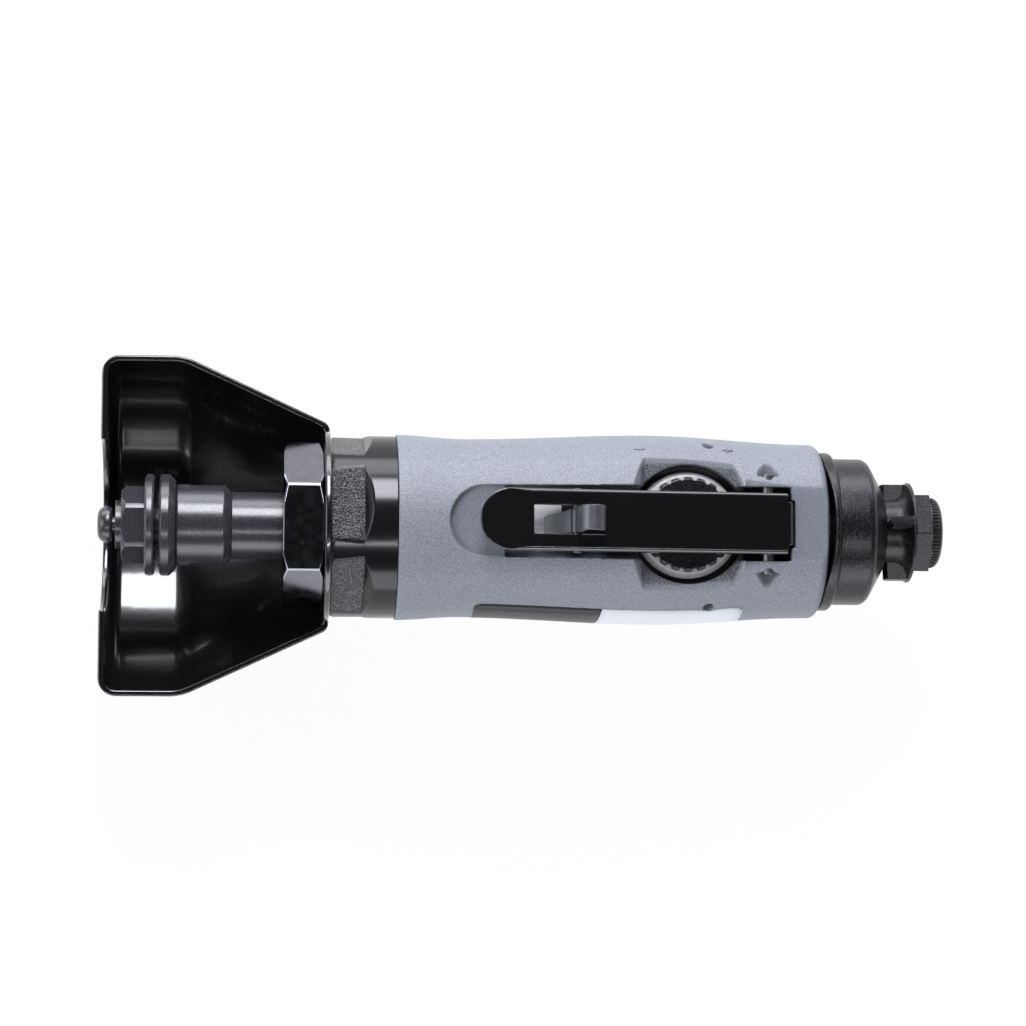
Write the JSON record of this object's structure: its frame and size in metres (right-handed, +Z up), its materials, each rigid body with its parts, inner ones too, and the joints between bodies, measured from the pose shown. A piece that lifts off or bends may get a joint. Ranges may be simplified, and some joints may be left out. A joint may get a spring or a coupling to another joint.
{
  "type": "pneumatic cut off tool",
  "caption": "Straight pneumatic cut off tool with a grey housing, black half guard, throttle lever with a safety latch, speed regulator and rear air inlet.",
  "frame": {"origin": "the wheel seat on the spindle axis, at the front face of the inner flange", "axes": "+X along the spindle towards the air inlet, +Z up through the throttle lever, Y across"},
  "size_m": [0.2091, 0.0842, 0.0755],
  "materials": {
    "black_enamel": "gloss black enamel on steel",
    "black_oxide_steel": "black oxide on turned steel, oiled",
    "bright_steel": "bare steel, turned or ground",
    "motor_iron": "machined iron, oiled",
    "vane_composite": "cloth-filled resin, sawn",
    "grey_composite": "moulded composite, finely textured",
    "grey_steel": "pressed steel with a grey phosphate coat",
    "black_plastic": "moulded black plastic",
    "black_rubber": "cut black rubber",
    "grey_felt": "pressed felt",
    "brass": "turned brass"
  },
  "bodies": {
    "tool": {"guard_nut": "black_enamel", "nose_collar": "black_oxide_steel", "spindle_seal": "grey_felt", "front_bearing_outer_race": "bright_steel", "front_end_plate": "motor_iron", "cylinder_liner": "motor_iron", "rear_end_plate": "motor_iron", "rear_bearing_outer_race": "bright_steel", "motor_dowel": "bright_steel", "housing": "grey_composite", "stop_plate": "bright_steel", "lever_pin": "bright_steel", "regulator_washer": "bright_steel", "regulator_pin": "black_oxide_steel", "valve_bush": "brass", "valve_spring": "bright_steel", "rear_gasket": "black_rubber", "exhaust_ring": "black_plastic", "exhaust_deflector": "black_plastic", "exhaust_silencer": "grey_felt", "inlet_bushing": "black_oxide_steel", "inlet_strainer": "bright_steel"},
    "guard": {"guard": "black_enamel"},
    "spindle": {"arbor": "black_oxide_steel", "inner_flange": "black_oxide_steel", "spindle": "bright_steel", "front_bearing_inner_race": "bright_steel", "front_bearing_balls": "bright_steel", "rotor": "motor_iron", "rotor_key": "bright_steel", "rotor_vanes": "vane_composite", "rear_bearing_inner_race": "bright_steel", "rear_bearing_balls": "bright_steel", "bearing_circlip": "black_oxide_steel"},
    "wheel_clamp": {"outer_flange": "black_oxide_steel", "clamp_nut": "black_oxide_steel", "lock_screw": "black_oxide_steel"},
    "lever": {"throttle_lever": "black_enamel", "latch_pin": "bright_steel", "latch_spring": "bright_steel"},
    "latch": {"safety_latch": "grey_steel"},
    "regulator": {"regulator_knob": "black_plastic"},
    "valve": {"valve_stem": "brass", "valve_seal": "black_rubber"},
    "plug": {"transport_plug": "black_plastic"}
  },
  "joints": [
    {"name": "spindle_spin", "type": "hinge", "parent": "tool", "child": "spindle", "pos_m": [0, 0, 0], "axis": [1, 0, 0], "continuous": true},
    {"name": "clamp_travel", "type": "slide", "parent": "spindle", "child": "wheel_clamp", "axis": [-1, 0, 0], "range_m": [0, 0.025]},
    {"name": "guard_swivel", "type": "hinge", "parent": "tool", "child": "guard", "pos_m": [0.0408, 0, 0], "axis": [1, 0, 0], "continuous": true},
    {"name": "lever_press", "type": "hinge", "parent": "tool", "child": "lever", "pos_m": [0.1481, 0, 0.0175], "axis": [0, -1, 0], "range_deg": [0, 4.5], "stiffness_Nm_per_rad": 1.5, "springref_deg": -11.46},
    {"name": "latch_turn", "type": "hinge", "parent": "lever", "child": "latch", "pos_m": [0.10076, 0, 0.02263], "axis": [0, 1, 0], "range_deg": [0, 35]},
    {"name": "valve_travel", "type": "slide", "parent": "tool", "child": "valve", "axis": [0, 0, -1], "range_m": [0, 0.0016], "deforming": ["valve_spring"]},
    {"name": "regulator_turn", "type": "hinge", "parent": "tool", "child": "regulator", "pos_m": [0.1286, 0, 0], "axis": [0, 0, 1], "range_deg": [-45, 45]},
    {"name": "plug_pull", "type": "slide", "parent": "tool", "child": "plug", "axis": [1, 0, 0], "range_m": [0, 0.03]}
  ],
  "couplings": [
    {"joint": "latch_turn", "follows": "lever_press", "ratio": 7.7777},
    {"joint": "valve_travel", "follows": "lever_press", "m_per_rad": 0.01948}
  ]
}
